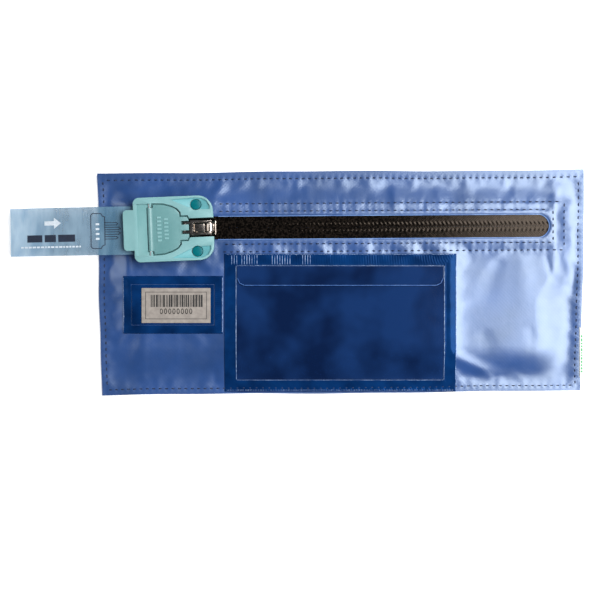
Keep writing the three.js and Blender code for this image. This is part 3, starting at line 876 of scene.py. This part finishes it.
# --- zip
def zip_tape(side, material):
    """One woven tape, with the coil that is sewn under it showing through as a row of chevrons."""
    name = "upper" if side > 0 else "lower"
    tape_top = box(f"zip_tape_{name}")[1][2]
    width, cell = 9.9, 0.26
    s, t = np.meshgrid(np.arange(-20.0, SLOT_END + 2.5, cell), np.arange(0.05, width, cell))
    # The coil, the twill and the yarn across it are drawn coarser than real ones, so that they show.
    coil_centre, coil_pitch, twill_pitch, yarn_pitch = 2.1, 2.6, 1.6, 0.9
    wave = lambda phase, pitch: 0.5 + 0.5 * np.cos(2 * math.pi * phase / pitch)
    hill = np.exp(-(((t - coil_centre) / 2.6) ** 2))
    beads = np.exp(-(((t - coil_centre) / 0.8) ** 2)) * wave(s + 0.5 * t, coil_pitch)
    twill = wave(s - 1.1 * t, twill_pitch) * (1 - 0.6 * beads)
    cross_yarn = wave(s + 1.3 * t, yarn_pitch)
    height = 0.08 * hill + 0.11 * beads + 0.028 * twill + 0.012 * cross_yarn
    top = raised(ZIP.point(s, side * t), tape_top - 0.2 + height)
    replaced = [f"zip_tape_{name}", f"zip_coil_{name}"]
    title = f"zip_tape_{name}_woven"
    obj = piece(title, *slab(top, 0.5), material, "bag", "zip_tape", replaced, smooth_angle=75)
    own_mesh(obj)


# --- welded windows
def weld_frame(name, panel, outer, band, material, node, ribs, beads, pitch=1.5):
    """A welded vinyl band round a window, with ribs pressed across it and a raised bead along some edges.

    ribs and beads go by side: bottom, right, top, left. A rib entry is its height and the stretches of the
    band's width that it covers, from 0 at the outer edge to 1 at the inner one. A bead entry is its height at
    the outer edge and at the inner one.
    """
    left, right, bottom, top = outer
    dice = random.Random(11)
    corners = lambda by: rectangle(left + by, right - by, bottom + by, top - by)
    thickness, bead_inset, bead_width = 0.42, 0.05, 0.42
    points, faces = [], []
    across = np.linspace(0, 1, 31)
    for side in range(4):
        starts = np.array([corners(t * band)[side] for t in across])
        ends = np.array([corners(t * band)[(side + 1) % 4] for t in across])
        run = np.linalg.norm(ends[0] - starts[0])
        share = np.linspace(0, 1, int(run / 0.3) + 1)
        place = starts[:, None] + (ends - starts)[:, None] * share[None, :, None]
        distance = np.linalg.norm(place - np.array(corners(0)[side]), axis=-1)
        t = across[:, None]
        rib_height, stretches = ribs[side]
        fade = 0.06
        window = sum(smoothstep((t - start) / fade) * smoothstep((end - t) / fade) for start, end in stretches)
        phase = dice.uniform(0, 6)
        strength = 0.7 + 0.3 * np.sin(distance / 11 + phase) * np.sin(distance / 4.3 + 2 * phase)
        profile = rib_height * window * strength * (0.5 + 0.5 * np.cos(2 * math.pi * distance / pitch))
        outer_bead, inner_bead = beads[side]
        profile = profile + outer_bead * np.exp(-(((t - bead_inset) * band / bead_width) ** 2))
        profile = profile + inner_bead * np.exp(-(((t - 1 + bead_inset) * band / bead_width) ** 2))
        edge = np.minimum(t, 1 - t) * band
        lift = thickness + profile - 0.3 * np.clip(1 - edge / 0.45, 0, 1) ** 2
        z = blurred(panel.at(place[..., 0], place[..., 1]), 4) + lift
        made, side_faces = slab(raised(place, z), thickness)
        join(points, faces, made.tolist(), side_faces)
    piece(name, points, faces, material, "bag", "welded_vinyl", [node], smooth_angle=70)


def bead_line(name, panel, start, end, lift, material, pitch=1.25, radius=0.3, neck=0.62):
    """A line of small glossy beads, where the welding tool's edge squeezed the vinyl up."""
    dice = random.Random(len(name))
    start, run, direction, side = straight_line(start, end)
    along = np.arange(0, run, 0.22)
    uneven_size = 0.75 + 0.25 * np.sin(along / 5 + dice.uniform(0, 6))
    swell = neck + (1 - neck) * np.abs(np.sin(math.pi * along / pitch)) * uneven_size
    turns = np.linspace(0, math.pi, 6)
    line = start + along[:, None] * direction
    height = panel.at(line[:, 0], line[:, 1]) + lift
    place = line[:, None] + np.cos(turns)[None, :, None] * (radius * swell)[:, None, None] * side
    z = height[:, None] + np.sin(turns)[None, :] * (radius * swell)[:, None]
    piece(name, *slab(raised(place, z), 0.12), material, "bag", "welded_vinyl", smooth_angle=80)


def film(name, panel, edges, lift, material, node, body="bag", corner=0.0, sag=0.1, thickness=0.25):
    """A clear sheet in a window, with soft waves in it. Its lower corners can be rounded."""
    left, right, bottom, top = edges
    columns = int((right - left) / 1.2) + 1
    rows = int(top - bottom) + 1
    x, y = np.meshgrid(np.linspace(left, right, columns), np.linspace(bottom, top, rows))
    if corner:
        middle, half = (left + right) / 2, (right - left) / 2
        over_x = np.maximum(np.abs(x - middle) - half + corner, 0)
        over_y = np.maximum(bottom + corner - y, 0)
        over = np.hypot(over_x, over_y)
        pull = np.where(over > corner, corner / np.maximum(over, 1e-6), 1)
        x = x - np.sign(x - middle) * over_x * (1 - pull)
        y = y + over_y * (1 - pull)
    waves = sag * (np.sin(x / 16 + y / 21) + 0.6 * np.sin(x / 7.3 - y / 12))
    fade = smoothstep(np.minimum(np.minimum(x - left, right - x), np.minimum(y - bottom, top - y)) / 6)
    z = blurred(panel.at(x, y), 6) + lift + waves * fade
    points, faces = slab(np.stack([x, y, z], axis=-1), thickness)
    obj = piece(name, points, faces, material, body, "clear_vinyl", [node], smooth_angle=60)


def slot_cut_edge(panel, material):
    """A pale strip all along the cut edge of the zip's slot: painted highlight on the rolled edge."""
    end = SLOT_END - SLOT_HALF
    turns = np.linspace(-math.pi / 2, math.pi / 2, 40)
    lower, upper = np.arange(ROW_START, end, 1.0), np.arange(end, ROW_START, -1.0)
    along = np.concatenate([lower, end + SLOT_HALF * np.cos(turns), upper])
    lower_edge, upper_edge = np.full(len(lower), -SLOT_HALF), np.full(len(upper), SLOT_HALF)
    across = np.concatenate([lower_edge, SLOT_HALF * np.sin(turns), upper_edge])
    centre = np.minimum(along, end)
    rows = []
    for outward in (-0.15, 0.0, 0.3):
        scale = (SLOT_HALF + outward) / SLOT_HALF
        rows.append(ZIP.point(centre + (along - centre) * scale, across * scale))
    place = np.stack(rows)
    below_face = np.array([0.35, 0.25, 0.23])[:, None]
    z = panel.at(place[..., 0], place[..., 1]) - below_face
    piece("zip_slot_cut_edge", *slab(raised(place, z), 0.2), material, "bag", "coated_cloth", smooth_angle=60)


def flat_edges(node):
    """A node's left, right, bottom and top."""
    low, high = box(node)
    return low[0], high[0], low[1], high[1]


def card_pocket(panel, weld, clear, bead, lip_highlight_material):
    """A clear pocket for a card: a welded frame, a window, and an overlap that lifts to let the card in."""
    outer = flat_edges("card_pocket_frame")
    band, rib_pitch = 7.5, 1.57
    weld_frame(
        "card_pocket_weld",
        panel,
        outer,
        band,
        weld,
        "card_pocket_frame",
        ribs=[
            (0.08, [(0.08, 0.34), (0.86, 0.98)]),
            (0.012, [(0.1, 0.9)]),
            (0.08, [(0.08, 0.95)]),
            (0.015, [(0.1, 0.9)]),
        ],
        beads=[(0.05, 0.06), (0.06, 0.08), (0.0, 0.06), (0.08, 0.2)],
        pitch=rib_pitch,
    )
    left, right, bottom, top = outer
    # The bead lines are pale: painted highlights along the weld's edges.
    for name, x, lift in (
        ("card_pocket_bead_left", left + band - 0.1, 0.55),
        ("card_pocket_bead_right", right - band + 0.1, 0.55),
        ("card_pocket_rim_right", right - 0.2, 0.3),
    ):
        bead_line(name, panel, (x, bottom + band), (x, top - band), lift, bead, radius=0.22)
    for name, y, inset in (
        ("card_pocket_bead_top", top - 0.5, 1.5),
        ("card_pocket_bead_inner_top", top - band + 0.2, band),
        ("card_pocket_bead_inner_bottom", bottom + band - 0.3, band),
        ("card_pocket_bead_bottom", bottom + 1.0, 1.5),
    ):
        ends = (left + inset, y), (right - inset, y)
        bead_line(name, panel, *ends, 0.42, bead, rib_pitch, radius=0.17, neck=0.15)
    # Pale strips on the rib tops, in groups at the end of the band nearer the lock: painted highlights.
    crest_highlights = []
    half_crest = 0.17
    for first, last in ((-69, -64), (-62.1, -51.2), (-43.9, -31.5), (-24.2, -17.8)):
        place = left + rib_pitch * math.ceil((first - left) / rib_pitch)
        while place < last:
            crest_highlights.append(rectangle(place - half_crest, place + half_crest, top - band + 0.9, top - 1.0))
            place += rib_pitch
    piece("card_pocket_rib_crest_highlights", *patches(crest_highlights, panel.lift, 0.56), bead, "bag", "welded_vinyl")
    film("card_pocket_window", panel, flat_edges("card_pocket_film"), 0.75, clear, "card_pocket_film")
    # The overlap reaches a little past the CAD's at each end, over the weld's inner edge.
    left, right, bottom, top = flat_edges("card_pocket_flap")
    left, right, lift = left - 1.2, right + 1.2, 1.45
    edges = (left, right, bottom, top)
    replaced, body = "card_pocket_flap", "pocket_flap"
    film("card_pocket_overlap", panel, edges, lift, clear, replaced, body, corner=5, sag=0.12)
    # The lip is a pale line along the overlap's lower edge: a painted highlight.
    edge, mid, turn = 0.3, 1.6, 4.5
    lip = [(left + edge, bottom + turn), (left + mid, bottom + mid), (left + turn, bottom + edge)]
    lip += [(right - turn, bottom + edge), (right - mid, bottom + mid), (right - edge, bottom + turn)]
    on_overlap = lambda x, y: panel.lift(x, y, lift)
    made = patches(stroke(lip, 0.34), on_overlap, 0.12)
    piece("card_pocket_overlap_lip_highlight", *made, lip_highlight_material, "pocket_flap", "clear_vinyl")


def label_window(panel, weld, paper, ink, bead):
    """A small welded frame round a printed card."""
    outer = flat_edges("label_window_frame")
    weld_frame(
        "label_window_weld",
        panel,
        outer,
        5.2,
        weld,
        "label_window_frame",
        ribs=[
            (0.05, [(0.1, 0.3), (0.75, 0.95)]),
            (0.12, [(0.15, 0.95)]),
            (0.06, [(0.08, 0.3)]),
            (0.05, [(0.08, 0.3)]),
        ],
        beads=[(0.05, 0.0), (0.3, 0.08), (0.08, 0.05), (0.3, 0.0)],
        pitch=1.25,
    )
    left, right, bottom, top = outer
    # The bead lines are pale: painted highlights along the weld's sides.
    for name, x in (("label_window_bead_left", left + 0.3), ("label_window_bead_right", right - 0.3)):
        bead_line(name, panel, (x, bottom + 1), (x, top - 1), 0.45, bead)
    edges = flat_edges("label_window_film")
    film("label_backing", panel, edges, 0.3, weld, "label_window_film", sag=0.05, thickness=0.2)
    barcode_label(paper, ink)


def barcode_label(paper, ink):
    """The printed card: a ruled border, bars of random widths and a row of noughts."""
    left, right, bottom, top = flat_edges("barcode_label")
    x, y = np.meshgrid(np.linspace(left, right, 40), np.linspace(bottom, top, 20))
    lift = 0.62
    on_card = lambda px, py: np.stack([px, py, tray(px, py) + lift], axis=-1)
    piece("barcode_card", *slab(on_card(x, y), 0.22), paper, "bag", "label_paper", ["barcode_label"])
    inset = 2.5
    border = rectangle(left + inset, right - inset, bottom + inset, top - inset)
    marks = stroke(border, 0.32, closed=True)
    dice = random.Random(23)
    bar_left, bar_right, bar_bottom, bar_top = left + 5.7, right - 4.6, bottom + 9.9, top - 4.2
    place = bar_left
    while place < bar_right:
        width = dice.choice([0.33, 0.33, 0.55, 0.85, 1.15])
        marks.append(rectangle(place, min(place + width, bar_right), bar_bottom, bar_top))
        place += width + dice.choice([0.33, 0.45, 0.45, 0.7])
    noughts, pitch, half_width, half_height, above_edge = 8, 2.6, 0.72, 1.5, 7.2
    start = (left + right) / 2 - (noughts - 1) * pitch / 2
    turns = np.linspace(0, 2 * math.pi, 13)[:-1]
    for k in range(noughts):
        middle = np.array([start + k * pitch, bottom + above_edge])
        ring = [middle + (half_width * math.cos(a), half_height * math.sin(a)) for a in turns]
        marks += stroke(ring, 0.42, closed=True)
    piece("barcode_print", *patches(marks, on_card, 0.03), ink, "bag", "label_paper")


# --- lock, slider and seal
def lock_pieces(mint, base_mint, teal, steel):
    for node, width, material in (
        ("lock_base", 0.5, base_mint),
        ("lock_flap", 0.32, mint),
        ("lock_backing_plate", 0.2, mint),
        ("rivet_upper", 0.25, teal),
        ("rivet_lower", 0.25, teal),
    ):
        rounded_copy(node, width, material)
    refinish("flap_hinge_pin", steel)
    plate_top = PLATEAU + 7.2
    row_pitch, bar_length, bar_width = 2.35, 2.5, 1.1
    bars = []
    for along, count in ((4.4, 7), (8.7, 6)):
        for k in range(count):
            across = (k - (count - 1) / 2) * row_pitch - 0.4
            bars.append(rectangle(along, along + bar_length, across, across + bar_width))
    on_flap = lambda u, v: raised(LOCK.point(u, v), np.full(u.shape, plate_top))
    made = patches(bars, on_flap, 0.4)
    # The bars take the base mint and stand highest, so painted light makes them pale on top.
    piece("flap_grip_bars", *made, base_mint, "flap", "mint_plastic", smooth_angle=20)


def seal_height(along):
    """The film's droop past the bag's edge, from its flat stretch."""
    flat_end, reach, droop = -24.0, 54.2, 4.5
    return -droop * np.clip((flat_end - along) / reach, 0, 1) ** 2


def seal_pieces(film_material, tongue_material, ink, pale_ink):
    """The film strip and its tongue, laid out along and across the strip from where it enters the lock."""
    top_flat = box("seal_flag")[1][2]
    half, free_end, inner_end = 14.9, -78.2, 7.0

    def on_film(s, t, lift=0.0):
        curl = 0.25 * np.sin(s / 9) * np.clip((-s - 20) / 30, 0, 1) * (t / half)
        return raised(SEAL.point(s, t), top_flat + seal_height(s) + curl + lift)

    s, t = np.meshgrid(np.linspace(free_end, inner_end, 120), np.linspace(-half, half, 36))
    points, faces = slab(on_film(s, t), 0.22)
    obj = piece("seal_film", points, faces, film_material, "seal", "printed_film", ["seal_flag"])
    rounded_copy("seal_tongue", 0.1, tongue_material)

    # A comb-shaped key in outline: a head with stepped corners and four prongs that point at the lock.
    neck = -19
    lower_half = [(-27.6, -9.6), (-26.6, -10.8), (-21.4, -10.8), (-20.4, -9.2), (neck, -8.6)]
    head = lower_half + [(along, -across) for along, across in reversed(lower_half)]
    marks = stroke(head, 0.5, closed=True)
    prong_pitch, prong_half = 2.87, 0.75
    for k, reach in enumerate((-10.9, -9.4, -9.4, -10.9)):
        middle = -4.3 + prong_pitch * k
        near, far = middle - prong_half, middle + prong_half
        prong = [(neck, near), (reach - 1, near), (reach, middle), (reach - 1, far), (neck, far)]
        marks += stroke(prong, 0.42)
    # A plain heavy rule, in three lengths.
    for start, end in ((-67.5, -58.0), (-56.5, -49.5), (-48.0, -37.5)):
        marks.append(rectangle(start, end, -6.3, -1.9))
    lifted = lambda u, v: on_film(u, v, 0.02)
    piece("seal_marks_dark", *patches(marks, lifted, 0.04), ink, "seal", "printed_film")
    # A pale arrow that says which end goes in, and a fine dashed rule.
    pale = [
        rectangle(-56.5, -50.5, 4.0, 6.6),
        [(-50.5, 1.9), (-46.2, 5.3), (-46.2, 5.3), (-50.5, 8.7)],
    ]
    dice = random.Random(5)
    place = -71.5
    while place < -34:
        length = dice.uniform(0.9, 2.2)
        pale.append(rectangle(place, place + length, -9.9, -8.9))
        place += length + 0.6
    for k in range(4):
        pale.append(rectangle(-24.6, -22.4, -5.4 + 3 * k, -4.2 + 3 * k))
    piece("seal_marks_pale", *patches(pale, lifted, 0.04), pale_ink, "seal", "printed_film")


def slider_pieces(chrome, steel):
    for node, width in (("slider_body", 0.28), ("slider_bridge", 0.3), ("slider_puller", 0.28)):
        rounded_copy(node, width, chrome)
    for node in ("zip_top_stop_upper", "zip_top_stop_lower", "zip_bottom_stop"):
        refinish(node, steel)


# --- all of it
def main():
    bpy.context.scene.view_settings.view_transform = "Standard"
    add_camera()
    add_floor()
    add_world()
    centre = (0.0, 0.0, 0.0)
    add_softbox("right_softbox", (0.611, 0.152, 0.94), centre, (1.2, 0.87), 32)
    add_softbox("left_fill", (-1.2, 0.1, 0.7), centre, (0.8, 0.8), 4)

    cloth = coated_cloth()
    weld = welded_vinyl()
    clear = clear_vinyl()
    # Painted light and shade on the mint plastics: darker low down, paler on top, darker at the facet height.
    mint = moulded_plastic("mint_plastic", "#356b6e", "#628b8c", 0.36, PLATEAU + 6.2, PLATEAU + 7.5)
    facet = (PLATEAU + 6.6, "#57959b")
    base_heights = PLATEAU + 6.1, PLATEAU + 7.0
    base_mint = moulded_plastic("mint_plastic_base", "#518384", "#759ea0", 0.36, *base_heights, facet)
    teal = moulded_plastic("teal_plastic", "#00555c", "#00626a", 0.3, gloss=0.2)
    tongue = moulded_plastic("seal_plastic", "#b9c0c6", "#c9cfd4", 0.35)
    chrome = dark_chrome()
    steel = bright_steel()
    tape = zip_cloth()
    thread = sewing_thread()
    seal_film = printed_film()
    paper = plain("label_paper", "#7b746e", "#8b847d", 0.75, 3.0, 0.02)
    black_ink = plain("black_ink", "#0b0a0a", "#161413", 0.6, 1.0, 0.01)
    navy_ink = plain("navy_ink", "#0b1526", "#142238", 0.5, 1.0, 0.01)
    # Painted highlight: a paler blue for the slot's cut edge, where the rolled cloth catches the light.
    cut_edge_highlight = plain("cloth_cut_edge_highlight", "#45659c", "#6d8cbc", 0.3, 14.0, 0.01)
    # Painted highlight: a pale blue for the weld's bead lines and rib tops, where they catch the light.
    bead = plain("weld_bead_painted_highlight", "#33507f", "#8ba1c4", 0.2, 2.0, 0.01)
    # Painted highlight: a pale blue line along the overlap's lower edge, where it catches the light.
    lip = plain("film_lip_painted_highlight", "#2c4f86", "#47699c", 0.25, 4.0, 0.01)
    pale_ink = plain("pale_ink", "#a9b3bd", "#c0c8cf", 0.5, 1.0, 0.01)
    ribbon = plain("woven_ribbon", "#c8cac4", "#d8dad4", 0.8, 0.6, 0.05)
    green_yarn = plain("green_yarn", "#3f8f5c", "#4fa36c", 0.8, 0.6, 0.05)

    panel = Panel()
    front_cloth(panel, cloth)
    back_cloth(cloth)
    all_stitches(panel, thread)
    side_tag(ribbon, green_yarn)
    for side in (-1, 1):
        zip_tape(side, tape)
    slot_cut_edge(panel, cut_edge_highlight)
    card_pocket(panel, weld, clear, bead, lip)
    label_window(panel, weld, paper, black_ink, bead)
    lock_pieces(mint, base_mint, teal, steel)
    slider_pieces(chrome, steel)
    seal_pieces(seal_film, tongue, navy_ink, pale_ink)


main()

bpy.context.view_layer.update()
